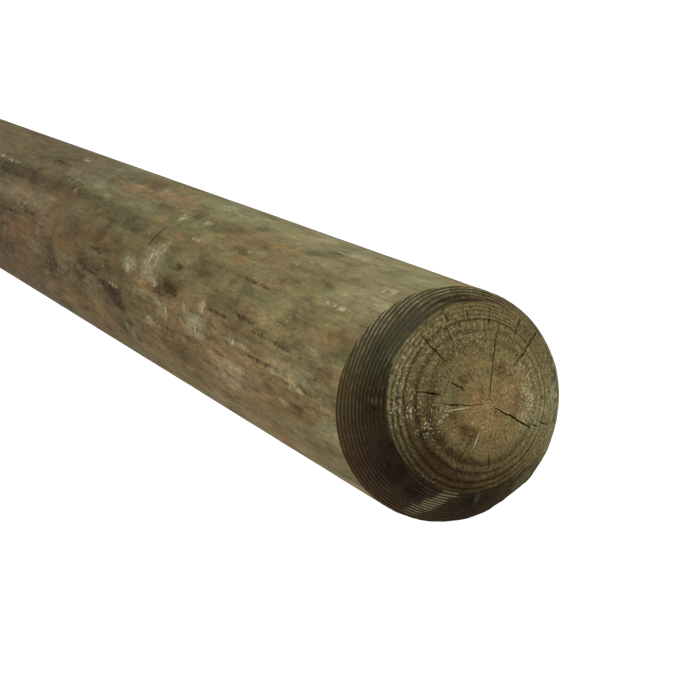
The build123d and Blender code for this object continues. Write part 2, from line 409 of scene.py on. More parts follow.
def face_field(points, spots):
    def reach(x, y, outwards, around):
        angle = math.atan2(y - PITH_Y, x - PITH_X)
        along, aside = turned(points[:, 0] - x, points[:, 1] - y, angle)
        return along / outwards, aside / around

    return strongest(spots, reach)


def chamfer_field(points, patches):
    def reach(bearing, radius, up, around):
        aside = turn_between(angles_of(points), bearing) * radius
        return aside / around, (np.hypot(points[:, 0], points[:, 1]) - radius) / up

    return strongest(patches, reach)


def check_at(x, y, turn):
    """The signed distance to the nearest drying check, its half width there and its depth there."""
    offset = np.full(x.shape, 2.0)
    half_width = np.full(x.shape, -1.0)
    depth_there = np.zeros(x.shape)
    for bearing, start, stop, width, depth, bow in CHECKS:
        along, aside = turned(x - PITH_X, y - PITH_Y, math.radians(bearing + turn))
        share = (along - start) / (stop - start)
        inside = np.clip(4 * share * (1 - share), 0, 1)
        waver = 0.22 * np.sin(along * 0.5 + bearing) + 0.10 * np.sin(along * 1.3 + start)
        off_line = aside - bow * inside - waver
        nearest = np.abs(off_line) < np.minimum(np.abs(offset), CHECK_REACH)
        close = (share > 0) & (share < 1) & nearest
        offset = np.where(close, off_line, offset)
        half_width = np.where(close, width / 2 * inside**0.4, half_width)
        depth_there = np.where(close, depth * inside**0.5, depth_there)
    return offset, half_width, depth_there


def splinter_at(x, y):
    """1 on a pale splinter that stands up from the face, 0 off it."""
    field = np.zeros(x.shape)
    for (from_x, from_y), (to_x, to_y) in SPLINTERS:
        length = math.hypot(to_x - from_x, to_y - from_y)
        along, aside = turned(x - from_x, y - from_y, math.atan2(to_y - from_y, to_x - from_x))
        taper = np.clip(4 * along / length * (1 - along / length), 0, 1)
        inside = SPLINTER_WIDTH * taper + SPLINTER_EDGE - np.abs(aside)
        field = np.maximum(field, smooth_step(inside, 0, 2 * SPLINTER_EDGE) * (taper > 0))
    return field


def shaft_radius(angles, heights):
    """The radius of the shaft: turned round, less the flat, the tears, the scuffs and the dents."""
    points = np.stack([POLE_RADIUS * np.cos(angles), POLE_RADIUS * np.sin(angles), heights], -1)
    depth = FLAT_DEPTH * (heights - POLE_LENGTH + FLAT_LENGTH) / FLAT_LENGTH
    across = np.maximum(np.cos(angles - FLAT_BEARING), 0.5)
    radius = np.where(depth > 0, np.minimum(POLE_RADIUS, (POLE_RADIUS - depth) / across), POLE_RADIUS)
    radius = radius + 0.2 * cloud(points, 26.0, 11, 2, 8.0) + 0.14 * cloud(points, 3.4, 12, 2, 12.0)
    tears = smooth_step(cloud(points, 5.0, 13, 2, 7.0), 0.38, 0.75)
    torn = shaft_field(points, SHAFT_MARKS["scuff"]) * (0.5 + 0.5 * cloud(points, 2.6, 14, 2, 3.0))
    dented = shaft_field(points, SHAFT_MARKS["shade"])
    return radius - TEAR_DEPTH * tears - SCUFF_DEPTH * torn - DENT_DEPTH * dented**2


def srgb(red, green, blue):
    """A colour as it is seen on screen, from 0 to 255, as the linear values that Blender wants."""
    share = np.array((red, green, blue)) / 255
    return np.where(share <= 0.04045, share / 12.92, ((share + 0.055) / 1.055) ** 2.4)


def blend(base, colour, amount):
    return base + (colour - base) * amount[..., None]


# Colours of the wood, as seen on screen.
SHAFT_OLIVE = srgb(119, 109, 73)
SHAFT_GREY = srgb(127, 122, 88)
SHAFT_BROWN = srgb(128, 104, 70)
SHAFT_PALE = srgb(158, 150, 118)
FACE_TAN = srgb(122, 104, 68)
FACE_OLIVE = srgb(106, 95, 62)
FACE_DARK = srgb(42, 24, 6)
FACE_CREAM = srgb(124, 118, 84)
PITH_TAN = srgb(133, 111, 80)
# Painted shade inside the open drying checks.
CHECK_SHADE = srgb(44, 34, 20)
SCUFF_PALE = srgb(163, 150, 111)
FLECK_PALE = srgb(196, 186, 150)
MOSS_ON_CHAMFER = srgb(66, 66, 44)
# The same round the chamfers: bearing, red, green and blue. Besides the dark, weathered end grain,
# they hold painted shade on the side turned from the light and painted light on the side turned to it.
CHAMFER_TONES_AND_SHADE = (
    (-180, 90, 81, 55), (-155, 72, 65, 43), (-130, 63, 58, 41), (-105, 59, 55, 38), (-75, 50, 42, 24),
    (-40, 46, 34, 22), (-8, 48, 36, 24), (12, 50, 41, 25), (35, 46, 38, 24), (65, 64, 56, 37),
    (95, 128, 119, 86), (125, 157, 151, 119), (155, 108, 99, 70),
)
# How the stains, and the painted shade of the broad dark patches, of the nick and of the pith crack,
# change the light that the wood gives back, in red, green and blue.
SHADE = (0.38, 0.28, 0.24)
FACE_SHADE = (0.5, 0.46, 0.38)
DIM_SHADE = (0.6, 0.56, 0.48)
TAN = (1.16, 1.06, 1.02)
RUST = (1.25, 1.02, 0.9)
MOSS = (0.86, 1.02, 0.98)
# How bright the pole is along its length, with painted shade on its far part and a brighter top:
# height and brightness.
BRIGHTNESS_HEIGHTS = (0.0, 1100.0, 1500.0, 1900.0, 2200.0, 2380.0)
BRIGHTNESS = (0.85, 0.66, 0.76, 1.01, 1.2, 1.18)
# The far part leans to mauve: in full below the first of these heights, not at all above the second.
FAR_TINT = (0.97, 0.92, 1.0)
FAR_TINT_ENDS = (1450.0, 1750.0)


def shaft_tone(points):
    """The base colour of the shaft, with painted shade on its far part and in broad soft patches."""
    base = blend(SHAFT_OLIVE, SHAFT_GREY, smooth_step(cloud(points, 34.0, 21, 3, 5.0), -0.3, 0.4) * 0.8)
    base = blend(base, SHAFT_BROWN, smooth_step(cloud(points, 24.0, 22, 3, 5.0), -0.1, 0.5) * 0.7)
    base = base * (1 - 0.3 * smooth_step(cloud(points, 15.0, 23, 4, 5.0), 0.1, 0.6))[:, None]
    base = base * (1 + 0.25 * smooth_step(cloud(points, 19.0, 24, 4, 4.0), 0.1, 0.6))[:, None]
    below_top = smooth_step(points[:, 2], POLE_LENGTH - 10.0, POLE_LENGTH - 300.0)
    base = blend(base, SHAFT_BROWN, 0.62 * hump(angles_of(points), -45, 40) * below_top)
    patchy = 1 + 0.6 * cloud(points, 9.0, 26, 3, 3.0)
    # The dim marks are broad painted shade.
    dim = np.clip(shaft_field(points, SHAFT_MARKS["dim"]) * patchy, 0, 1)
    pale = np.clip(shaft_field(points, SHAFT_MARKS["pale"]) * patchy, 0, 1)
    base = blend(base, SHAFT_PALE, 0.75 * pale)
    # Painted shade darkens the far part of the shaft, and its top is brighter.
    base = base * np.interp(points[:, 2], BRIGHTNESS_HEIGHTS, BRIGHTNESS)[:, None]
    near = smooth_step(points[:, 2], *FAR_TINT_ENDS)[:, None]
    base = base * (near + (1 - near) * np.array(FAR_TINT))
    return base * (1 - dim[:, None] * (1 - np.array(DIM_SHADE)))


def chamfer_tone(points):
    """The base colour of a chamfer: dark, weathered end grain, with painted shade and light by bearing,
    paler at its lower edge, and a painted highlight on its worn outer edge.
    """
    angles = angles_of(points)
    stops, *colours = zip(*CHAMFER_TONES_AND_SHADE)
    bands = [np.interp(np.degrees(angles), stops, band, period=360) for band in srgb(*colours)]
    radius = np.hypot(points[:, 0], points[:, 1])
    low_edge = smooth_step(radius, 60.0, 73.0) * hump(angles, -50, 70)
    # Pale wear along one side of the outer edge, with a painted highlight there.
    worn_edge_highlight = smooth_step(radius, 65.0, 71.0) * hump(angles, -118, 32)
    worn = 1 + 0.75 * low_edge + 0.6 * worn_edge_highlight + 0.3 * cloud(points, 12.0, 31, 3)
    return np.stack(bands, -1) * worn[:, None]


def face_tone(points):
    """The base colour of a sawn face, from the tan pith to its dark lower side."""
    x, y = points[:, 0], points[:, 1]
    theta, distance = from_pith(x, y)
    outer = smooth_step(distance + 10 * cloud(points, 16.0, 41, 3), 14.0, 36.0)
    base = blend(FACE_TAN, FACE_OLIVE, outer)
    dim = np.clip(humps(theta, DARK_FACE_HUMPS), 0, 0.9)
    base = blend(base, FACE_DARK, dim * smooth_step(distance + 8 * cloud(points, 14.0, 42, 3), 16.0, 57.0))
    left_rim = hump(theta, -86, 45) * smooth_step(ring_radius(x, y), 48.0, 51.0)
    right_rim = hump(theta, 112, 34) * smooth_step(distance, 18.0, 34.0)
    base = blend(base, FACE_CREAM, 0.34 * left_rim + 0.8 * right_rim)
    base = base * (1 + 0.14 * hump(theta, 165, 60) * smooth_step(distance, 10.0, 25.0))[:, None]
    return blend(base, PITH_TAN, smooth_step(distance, 5.5, 3.5) * 0.9)


def scattered(points, named, scatter, first_seed, stretch=1.0):
    """Stains by kind: those of the photo, with a general scatter of each."""
    stains = {kind: named.get(kind, 0) + np.zeros(len(points)) for kind in STAINS}
    for seed, (kind, (size, strength)) in enumerate(scatter.items(), first_seed):
        general = strength * smooth_step(cloud(points, size, seed, 2, stretch), 0.0, 0.7)
        stains[kind] = np.maximum(stains[kind], general)
    return stains


def shaft_stains(points):
    named = {kind: shaft_field(points, SHAFT_MARKS[kind]) for kind in SHAFT_SCATTER}
    stains = scattered(points, named, SHAFT_SCATTER, 61, 3.5)
    low_side = hump(angles_of(points), -55, 40) * (0.75 + 0.5 * cloud(points, 24.0, 25, 2, 3.0))
    stains["fleck"] = np.clip(0.25 + 0.75 * np.maximum(low_side, stains["scuff"]), 0, 1)
    return stains


def end_stains(points, kind, is_top):
    """The stains of a sawn face or a chamfer. The foot has the general ones only."""
    field_of, marks, scatter = END_STAINS[kind]
    named = {stain: field_of(points, group) for stain, group in marks.items()} if is_top else {}
    return scattered(points, named, scatter, 71)


# What the stains and the tone of each kind of surface come from.
END_STAINS = {
    "face": (face_field, FACE_SPOTS, FACE_SCATTER),
    "chamfer": (chamfer_field, CHAMFER_PATCHES, CHAMFER_SCATTER),
}
TONES = {"face": face_tone, "chamfer": chamfer_tone, "shaft": shaft_tone}

# Each mesh is rows of points, and each row is a loop: its bearings in radians, and its points at radius 1.
LOOP_ANGLES = np.arange(COLUMNS) * 2 * math.pi / COLUMNS
LOOP = np.stack([np.cos(LOOP_ANGLES), np.sin(LOOP_ANGLES)], -1)


def at_radius(radius, height):
    return np.stack([LOOP[:, 0] * radius, LOOP[:, 1] * radius, height + 0 * LOOP_ANGLES], -1)


def face_rows(rim, height_of, count, turn):
    """Rows from the pith out over a sawn face: worn rings, drying checks and raised splinters."""
    rim_points = LOOP * rim[:, None]
    pith = np.array((PITH_X, PITH_Y))
    rows = []
    for share in np.arange(1, count + 1) / count:
        x, y = (pith + (rim_points - pith) * share).T
        level = np.stack([x, y, height_of(x, y)], -1)
        offset, half_width, depth = check_at(x, y, turn)
        open_share = smooth_step(half_width + CHECK_EDGE - np.abs(offset), 0.0, 2 * CHECK_EDGE)
        split = depth * open_share * (half_width >= 0)
        uneven = 0.25 * cloud(level, 22.0, 51, 2) + 0.16 * cloud(level, 2.4, 52, 2)
        edge = smooth_step(share, 0.98, 1.0) * (0.3 + 0.3 * cloud(level, 5.0, 53, 2))
        raised = SPLINTER_HEIGHT * splinter_at(x, y) if turn == 0 else 0.0
        level[:, 2] += raised - FACE_RELIEF * early_wood(x, y) - uneven - edge - split
        rows.append(level)
    return rows


def chamfer_rows(rim, rim_height, shoulder, count):
    """Rows from a sawn face's rim down the chamfer, with the late wood of each ring standing proud."""
    shoulder_radius = shaft_radius(LOOP_ANGLES, np.full(COLUMNS, shoulder))
    shoulder_height = shoulder + POLE_RADIUS - shoulder_radius
    inward = np.concatenate([LOOP, np.ones((COLUMNS, 1))], 1) / math.sqrt(2)
    rows = []
    for row in range(1, count + 1):
        share = row / count
        radius = rim + (shoulder_radius - rim) * share
        point = at_radius(radius, rim_height + (shoulder_height - rim_height) * share)
        smooth = chamfer_field(point, SMOOTH_PATCHES)
        relief = CHAMFER_RELIEF * (1 - 0.85 * smooth) * smooth_step(row, 0.0, 3.0)
        worn = relief * early_wood(point[:, 0], point[:, 1]) * (0.85 + 0.4 * cloud(point, 9.0, 54, 2))
        worn = worn + 0.14 * cloud(point, 2.0, 55, 2) + 0.35 * smooth_step(share, 0.08, 0.0)
        rows.append(point - inward * worn[:, None])
    return rows


def shaft_rows(high, low, count, growth):
    """Rows down the shaft, closer together at the high end."""
    steps = growth ** np.arange(count)
    falls = np.concatenate([[0.0], np.cumsum(steps)]) / steps.sum()
    heights = [high + (low - high) * fall for fall in falls]
    return [at_radius(shaft_radius(LOOP_ANGLES, np.full(COLUMNS, height)), height) for height in heights]


def overlap_rows(last_row, low):
    """The few rows that carry an end mesh from its chamfer a little way down the shaft."""
    shoulder_radius = shaft_radius(LOOP_ANGLES, last_row[:, 2])
    start = last_row[:, 2] - np.maximum(shoulder_radius - np.hypot(last_row[:, 0], last_row[:, 1]), 0)
    rows = []
    for row in range(END_OVERLAP_ROWS + 1):
        height = start + (low - start) * row / END_OVERLAP_ROWS
        rows.append(at_radius(shaft_radius(LOOP_ANGLES, height), height))
    return rows


def put_in_scene(name, data):
    thing = bpy.data.objects.new(name, data)
    bpy.context.scene.collection.objects.link(thing)
    return thing


def build_mesh(name, rows, caps, attributes):
    """A closed mesh from loops of points, with a point at each end, and its points' attributes."""
    points = np.concatenate([*rows, caps])
    here = np.arange(len(points) - 2).reshape(-1, COLUMNS)
    beside = np.roll(here, -1, axis=1)
    quads = np.stack([here[:-1], here[1:], beside[1:], beside[:-1]], -1).reshape(-1, 4)
    top_cap, foot_cap = np.full(COLUMNS, len(points) - 2), np.full(COLUMNS, len(points) - 1)
    top_fan = np.stack([top_cap, here[0], beside[0]], -1)
    foot_fan = np.stack([foot_cap, beside[-1], here[-1]], -1)
    mesh = bpy.data.meshes.new(name)
    mesh.from_pydata(points * MM, [], [*quads.tolist(), *top_fan.tolist(), *foot_fan.tolist()])
    mesh.shade_smooth()
    for key, values in attributes.items():
        kind, field = "FLOAT", "value"
        if values.ndim == 2:
            kind, field = "FLOAT_COLOR", "color"
            values = np.concatenate([values, np.ones((len(values), 1))], 1)
        attribute = mesh.attributes.new(key, kind, "POINT")
        attribute.data.foreach_set(field, values.astype(np.float32).ravel())
    return put_in_scene(name, mesh)


def wood_piece(name, sections, caps, turn=None, is_top=False):
    """A mesh from (kind, rows) sections, with all that the wood's material reads."""
    rows = [row for _, section in sections for row in section]
    points = np.concatenate([*rows, caps])
    kinds = np.concatenate([np.full(len(section) * COLUMNS, kind) for kind, section in sections])
    kinds = np.concatenate([kinds, [sections[0][0], sections[-1][0]]])
    tone = np.zeros((len(points), 3))
    stains = {kind: np.zeros(len(points)) for kind in STAINS}
    for kind in dict.fromkeys(kind for kind, _ in sections):
        chosen = kinds == kind
        there = points[chosen]
        tone[chosen] = TONES[kind](there)
        found = shaft_stains(there) if kind == "shaft" else end_stains(there, kind, is_top)
        for stain, values in found.items():
            stains[stain][chosen] = values
    x, y = points[:, 0], points[:, 1]
    attributes = {
        "wood_tone": tone,
        **stains,
        "ring_number": ring_number(x, y),
        "ring_clear": ring_clearness(x, y),
        "face_share": 1.0 * (kinds == "face"),
        "chamfer_share": 1.0 * (kinds == "chamfer"),
    }
    if turn is not None:
        offset, half_width, _ = check_at(x, y, turn)
        attributes |= {
            "check_offset": offset,
            "check_half_width": np.where(kinds == "face", half_width, -1.0),
            "splinter": splinter_at(x, y) * is_top,
            "pore_rows": pore_rows(x, y),
            "worn_smooth": chamfer_field(points, SMOOTH_PATCHES) * is_top,
            # Pale wear at the outer edge of a chamfer, partly a painted highlight.
            "edge_wear_and_highlight": smooth_step(np.hypot(x, y), POLE_RADIUS - 3.5, POLE_RADIUS - 0.3),
        }
    return build_mesh(name, rows, caps, attributes)


def end_sections(rim, cut, shoulder, face_count, chamfer_count, turn):
    """The rows of one end, as if at the top: the sawn face, its chamfer and a little of the shaft."""
    face = face_rows(rim, cut, face_count, turn)
    rim_x, rim_y = (LOOP * rim[:, None]).T
    chamfer = chamfer_rows(rim, cut(rim_x, rim_y), shoulder, chamfer_count)
    shaft = overlap_rows(chamfer[-1], shoulder - END_OVERLAP)
    return [("face", face), ("chamfer", chamfer), ("shaft", shaft)]


def top_end():
    sections = end_sections(top_rim(LOOP_ANGLES), slanted_cut, TOP_SHOULDER, FACE_ROWS, CHAMFER_ROWS, 0.0)
    caps = [(PITH_X, PITH_Y, slanted_cut(PITH_X, PITH_Y)), (0.0, 0.0, TOP_SHOULDER - END_OVERLAP)]
    return wood_piece("pole_top", sections, caps, 0.0, True)


def foot_end():
    """The foot, made the other way up and then turned over."""
    rim = np.full(COLUMNS, POLE_RADIUS - FOOT_CHAMFER_WIDTH)
    counts = (FOOT_FACE_ROWS, FOOT_CHAMFER_ROWS)
    sections = end_sections(rim, square_cut, -FOOT_CHAMFER_WIDTH, *counts, FOOT_CHECK_TURN)
    over = np.array((1, 1, -1))
    sections = [(kind, [row * over for row in rows]) for kind, rows in sections]
    caps = [(PITH_X, PITH_Y, 0.0), (0.0, 0.0, FOOT_CHAMFER_WIDTH + END_OVERLAP)]
    piece = wood_piece("pole_foot", sections, caps, FOOT_CHECK_TURN)
    piece.data.flip_normals()
    return piece


def shaft_piece(name, high, low, count, growth):
    caps = [(0.0, 0.0, high), (0.0, 0.0, low)]
    return wood_piece(name, [("shaft", shaft_rows(high, low, count, growth))], caps)


# How fast the waves of the shaft's grain come, a metre across and along, and how far they shift it.
GRAIN_WAVES = (25.0, 25.0, 7.0)
GRAIN_SHIFT = (0.012, 0.012, 0.03)
# How far a ring wanders, in rings, and where its late wood is shaded, from 0 to 1 outwards.
RING_WANDER = 0.45
LATE_WOOD_PLACE = 0.03
# The wood's surface: how deep its finest bumps go, how rough it is and how much it shines.
BUMP_DEPTH = 0.8
ROUGHNESS = 0.85
SHINE = 0.1
# The sockets of the colour mixing node.
MIX_SHARE, MIX_FIRST, MIX_SECOND, MIX_RESULT = 0, 6, 7, 2


class Nodes:
    """A short way to write a node tree."""

    def __init__(self, owner):
        owner.use_nodes = True
        self.tree = owner.node_tree
        self.tree.nodes.clear()

    def put(self, node, key, value):
        if isinstance(value, bpy.types.NodeSocket):
            self.tree.links.new(value, node.inputs[key])
        else:
            node.inputs[key].default_value = value

    def add(self, kind, inputs=(), **settings):
        node = self.tree.nodes.new("ShaderNode" + kind)
        for key, value in settings.items():
            setattr(node, key, value)
        for key, value in dict(inputs).items():
            self.put(node, key, value)
        return node

    def maths(self, operation, *values):
        return self.add("Math", dict(enumerate(values)), operation=operation).outputs[0]

    def times(self, first, second):
        return self.maths("MULTIPLY", first, second)

    def plus(self, first, second):
        return self.maths("ADD", first, second)

    def less(self, first, second):
        return self.maths("SUBTRACT", first, second)

    def size(self, value):
        return self.maths("ABSOLUTE", value)

    def vector(self, operation, *values, output="Vector"):
        node = self.add("VectorMath", dict(enumerate(values)), operation=operation)
        return node.outputs[output]

    def attribute(self, name, output="Fac"):
        return self.add("Attribute", attribute_name=name).outputs[output]

    def texture(self, place, detail, roughness=0.5, output="Fac"):
        values = {"Vector": place, "Scale": 1.0, "Detail": detail, "Roughness": roughness}
        return self.add("TexNoise", values).outputs[output]

    def noise(self, place, across, along, detail=3.0, roughness=0.6):
        """Noise with blotches that are across wide and along long, in millimetres."""
        scale = (1 / (across * MM), 1 / (across * MM), 1 / (along * MM))
        return self.texture(self.vector("MULTIPLY", place, scale), detail, roughness)

    def step(self, value, low, high, out_low=0.0, out_high=1.0):
        values = {"Value": value, "From Min": low, "From Max": high, "To Min": out_low, "To Max": out_high}
        return self.add("MapRange", values, interpolation_type="SMOOTHSTEP").outputs["Result"]

    def mix(self, share, first, second, blend_type="MIX"):
        node = self.add("Mix", data_type="RGBA", blend_type=blend_type)
        for index, value in ((MIX_SHARE, share), (MIX_FIRST, first), (MIX_SECOND, second)):
            self.put(node, index, value)
        return node.outputs[MIX_RESULT]

    def cover(self, colour, paint, share, strength):
        """The colour with a paint over it, as strongly as given where the share is 1."""
        return self.mix(self.times(share, strength), colour, (*(float(value) for value in paint), 1.0))

    def tint(self, share, colour, factor):
        """The colour, multiplied by a factor where the share is 1."""
        return self.mix(share, colour, self.mix(1.0, colour, (*factor, 1.0), "MULTIPLY"))

    def layers(self, colour, rows):
        """The colour under layers of (noise, low, high, factor), each a tint by the factor where its noise
        goes from low to high. Any values after these limit the places that the layer shows in."""
        for noise, low, high, factor, *places in rows:
            share = self.step(noise, low, high)
            for place in places:
                share = self.times(share, place)
            colour = self.tint(share, colour, factor)
        return colour


def ragged(n, stain, noise, low=0.3, high=0.8, reach=2.4):
    """How much a stain shows, with the edge of its smooth field broken up by noise."""
    wander = n.times(n.less(noise, 0.5), reach)
    return n.step(n.plus(n.attribute(stain), wander), low, high)


def stained(n, place, colour, stretch, shade):
    """The colour with every stain over it. Stretch is how much longer the stains are along the grain."""
    coarse = n.noise(place, 10.0, 10.0 * stretch, 5.0, 0.65)
    middle = n.noise(place, 5.5, 5.5 * stretch, 4.0, 0.65)
    fine = n.noise(place, 2.6 * stretch, 2.6)
    streaky = n.noise(place, 2.6, 2.6 * stretch, 4.0, 0.7)
    for stain, noise, factor in (("tan", coarse, TAN), ("moss", middle, MOSS), ("rust", middle, RUST)):
        colour = n.tint(ragged(n, stain, noise), colour, factor)
    colour = n.tint(ragged(n, "shade", streaky, 0.3, 1.3, 3.2), colour, shade)
    return n.cover(colour, SCUFF_PALE, ragged(n, "scuff", fine, 0.55, 0.9, 2.6), 0.78)


def nick_share(n, place):
    """1 in the nick across the grain, on the side of the shaft that faces -Y."""
    (from_x, from_z), (to_x, to_z) = NICK_FROM, NICK_TO
    middle = ((from_x + to_x) / 2 * MM, -POLE_RADIUS * MM, (from_z + to_z) / 2 * MM)
    lean = (from_z - to_z) / (from_x - to_x)
    apart = n.add("SeparateXYZ", {0: n.vector("SUBTRACT", place, middle)}).outputs
    off_line = n.size(n.less(apart["Z"], n.times(apart["X"], lean)))
    half_length = abs(from_x - to_x) / 2 * MM
    thin = n.step(off_line, NICK_WIDTH * MM, 0.3 * NICK_WIDTH * MM)
    near = n.step(n.size(apart["X"]), half_length, 0.7 * half_length)
    front = n.step(apart["Y"], 0.5 * POLE_RADIUS * MM, 0.4 * POLE_RADIUS * MM)
    return n.times(n.times(thin, near), front)


def wavy(n, place):
    """The place shifted about a little, so that the grain that is drawn there waves."""
    wave = n.texture(n.vector("MULTIPLY", place, GRAIN_WAVES), 2.0, output="Color")
    wave = n.vector("SUBTRACT", wave, (0.5, 0.5, 0.5))
    return n.vector("ADD", place, n.vector("MULTIPLY", wave, GRAIN_SHIFT))


def shaft_look(n, place, tone):
    """The colour and the height of the weathered, machine-rounded shaft."""
    grain = wavy(n, place)
    washes = n.noise(grain, 17.0, 55.0)
    fibres = n.noise(grain, 1.6, 16.0)
    streaks = n.noise(grain, 3.4, 90.0, 4.0)
    mottle = n.noise(grain, 5.5, 20.0, 5.0, 0.65)
    grit = n.noise(place, 2.2, 6.5)
    tears = n.noise(grain, 9.0, 4.5)
    rough = n.attribute("fleck")
    rougher = n.plus(n.times(rough, 0.7), 0.3)

    layers = (
        (washes, 0.5, 0.66, (1.25, 1.22, 1.18)),
        (washes, 0.48, 0.32, (0.72, 0.7, 0.66)),
        (streaks, 0.52, 0.68, (0.62, 0.58, 0.5), rougher),
        (streaks, 0.46, 0.32, (1.18, 1.18, 1.15)),
        (mottle, 0.52, 0.68, (1.36, 1.34, 1.28), rougher),
        (mottle, 0.48, 0.32, (0.6, 0.55, 0.48), rougher),
        (fibres, 0.5, 0.34, (0.7, 0.67, 0.61), rougher),
        (grit, 0.54, 0.7, (1.35, 1.33, 1.27), rough),
        (grit, 0.44, 0.3, (0.7, 0.66, 0.6), rough),
    )
    colour = n.layers(stained(n, grain, tone, 2.6, SHADE), layers)
    pale = n.times(n.step(tears, 0.53, 0.64), ragged(n, "scuff", grit, 0.2, 0.8, 1.8))
    colour = n.cover(colour, FLECK_PALE, pale, 0.8)
    nick = nick_share(n, place)
    # The nick is painted dark: painted shade in the cut.
    colour = n.tint(nick, colour, SHADE)
    height = n.plus(n.times(fibres, 0.8), n.times(mottle, 0.6))
    height = n.plus(height, n.times(pale, 0.25))
    return colour, n.less(height, n.times(nick, 1.5))


def ring_distance(n, place):
    """How far a point is from the late wood of its growth ring: 0 on it, 0.5 halfway to the next."""
    wander = n.less(n.noise(place, 9.0, 9.0), 0.5)
    rings = n.plus(n.attribute("ring_number"), n.times(wander, RING_WANDER))
    share = n.maths("FRACT", n.plus(rings, 0.5 - LATE_WOOD_PLACE))
    return n.size(n.less(share, 0.5))


def off_pith(n, place):
    """Where a point is from the pith, across the pole."""
    flat = n.vector("MULTIPLY", place, (1.0, 1.0, 0.0))
    return n.vector("SUBTRACT", flat, (PITH_X * MM, PITH_Y * MM, 0.0))


def ray_noise(n, offset, rays, outward):
    """Noise in streaks that run out from the pith: how many rays there are, and how fast they change."""
    heading = n.vector("MULTIPLY", n.vector("NORMALIZE", offset), (rays, rays, 0.0))
    drift = n.vector("MULTIPLY", offset, (outward, outward, 0.0))
    return n.texture(n.vector("ADD", heading, drift), 3.0, 0.7)


def row_noise(n, offset, radius):
    """Noise in short strokes that stand in rows round the pith."""
    heading = n.vector("MULTIPLY", n.vector("NORMALIZE", offset), (26.0, 26.0, 0.0))
    row = n.maths("DIVIDE", radius, NARROW_RING * MM)
    ring = n.add("CombineXYZ", {"Z": row}).outputs[0]
    return n.texture(n.vector("ADD", heading, ring), 1.5)


def pith_crack(n, offset, radius):
    """1 on the crack that runs part of the way round the pith."""
    off_line = n.size(n.less(radius, PITH_CRACK_RADIUS * MM))
    toward = (math.cos(PITH_CRACK_BEARING), math.sin(PITH_CRACK_BEARING), 0.0)
    facing = n.vector("DOT_PRODUCT", n.vector("NORMALIZE", offset), toward, output="Value")
    return n.times(n.step(off_line, 0.5 * MM, 0.1 * MM), n.step(facing, 0.1, 0.5))


def face_look(n, place, tone, distance):
    """The colour and the height of a sawn face: soft bands inside, thin rings outside, flecks and pores."""
    offset = off_pith(n, place)
    radius = n.vector("LENGTH", offset, output="Value")
    rays = ray_noise(n, offset, 30.0, 110.0)
    star = ray_noise(n, offset, 9.0, 30.0)
    rows = row_noise(n, offset, radius)
    grit = n.noise(place, 1.1, 1.1, 2.0)
    blotch = n.noise(place, 6.0, 6.0, 5.0, 0.7)
    pores = n.noise(place, 1.5, 1.5, 1.0, 0.5)
    near_pith = n.step(radius, 24.0 * MM, 8.0 * MM)
    clear = n.attribute("ring_clear")
    in_rows = n.attribute("pore_rows")

    layers = (
        (blotch, 0.52, 0.7, (0.66, 0.62, 0.55)),
        (blotch, 0.46, 0.3, (1.35, 1.32, 1.22)),
        (rays, 0.52, 0.66, (1.35, 1.34, 1.28)),
        (star, 0.52, 0.62, (1.36, 1.34, 1.3), near_pith),
        (star, 0.46, 0.34, (0.72, 0.7, 0.66), near_pith),
        (distance, 0.26, 0.07, (0.44, 0.4, 0.33), clear),
        (distance, 0.3, 0.42, (1.2, 1.2, 1.18), clear),
        (grit, 0.48, 0.34, (0.58, 0.55, 0.5)),
        (grit, 0.5, 0.64, (1.35, 1.34, 1.3)),
        (pores, 0.66, 0.74, (0.4, 0.37, 0.3)),
        (rows, 0.42, 0.32, (0.5, 0.46, 0.38), in_rows),
        (rows, 0.58, 0.68, (1.5, 1.5, 1.45), in_rows),
    )
    colour = n.layers(stained(n, place, tone, 1.0, FACE_SHADE), layers)
    bright = n.maths("MAXIMUM", n.step(grit, 0.62, 0.72), n.step(rows, 0.6, 0.7))
    colour = n.cover(colour, FLECK_PALE, n.times(bright, n.attribute("fleck")), 0.8)
    colour = n.cover(colour, FLECK_PALE, n.attribute("splinter"), 0.9)
    # The crack round the pith is painted dark: painted shade in the crack.
    colour = n.tint(pith_crack(n, offset, radius), colour, SHADE)
    late = n.step(distance, 0.26, 0.07)
    return colour, n.plus(n.times(late, 0.3), n.times(grit, 0.7))


def chamfer_look(n, place, tone, distance):
    """The colour and the height of a chamfer: pale crests of late wood over dark grooves."""
    blotch = n.noise(place, 5.0, 5.0, 4.0, 0.65)
    grit = n.noise(place, 1.3, 1.3)
    clear = n.times(n.step(blotch, 0.3, 0.5, 0.45, 1.0), n.less(1.0, n.attribute("worn_smooth")))
    broken = n.step(n.noise(place, 3.6, 3.6, 4.0, 0.7), 0.38, 0.58, 0.12, 1.0)
    layers = (
        (blotch, 0.5, 0.7, (1.4, 1.38, 1.3)),
        (distance, 0.2, 0.4, (0.6, 0.55, 0.5), clear),
        (distance, 0.17, 0.04, (2.6, 2.8, 3.1), clear, broken),
        # Pale worn ring tips at the outer edge, partly a painted highlight.
        (distance, 0.28, 0.08, (1.25, 1.25, 1.25), n.attribute("edge_wear_and_highlight"), broken),
    )

    colour = n.cover(tone, MOSS_ON_CHAMFER, ragged(n, "moss", blotch), 0.75)
    colour = n.tint(ragged(n, "shade", blotch, 0.1, 1.1), colour, SHADE)
    colour = n.layers(colour, layers)
    worn_pale = n.times(ragged(n, "scuff", blotch, 0.2, 0.9, 1.0), n.step(distance, 0.44, 0.16))
    colour = n.cover(colour, SCUFF_PALE, worn_pale, 0.5)
    colour = n.layers(colour, [(grit, 0.5, 0.68, (1.3, 1.3, 1.26))])
    flecks = n.times(n.step(grit, 0.64, 0.74), n.attribute("fleck"))
    colour = n.cover(colour, FLECK_PALE, flecks, 0.4)
    return colour, n.plus(n.times(grit, 0.5), n.times(blotch, 0.4))


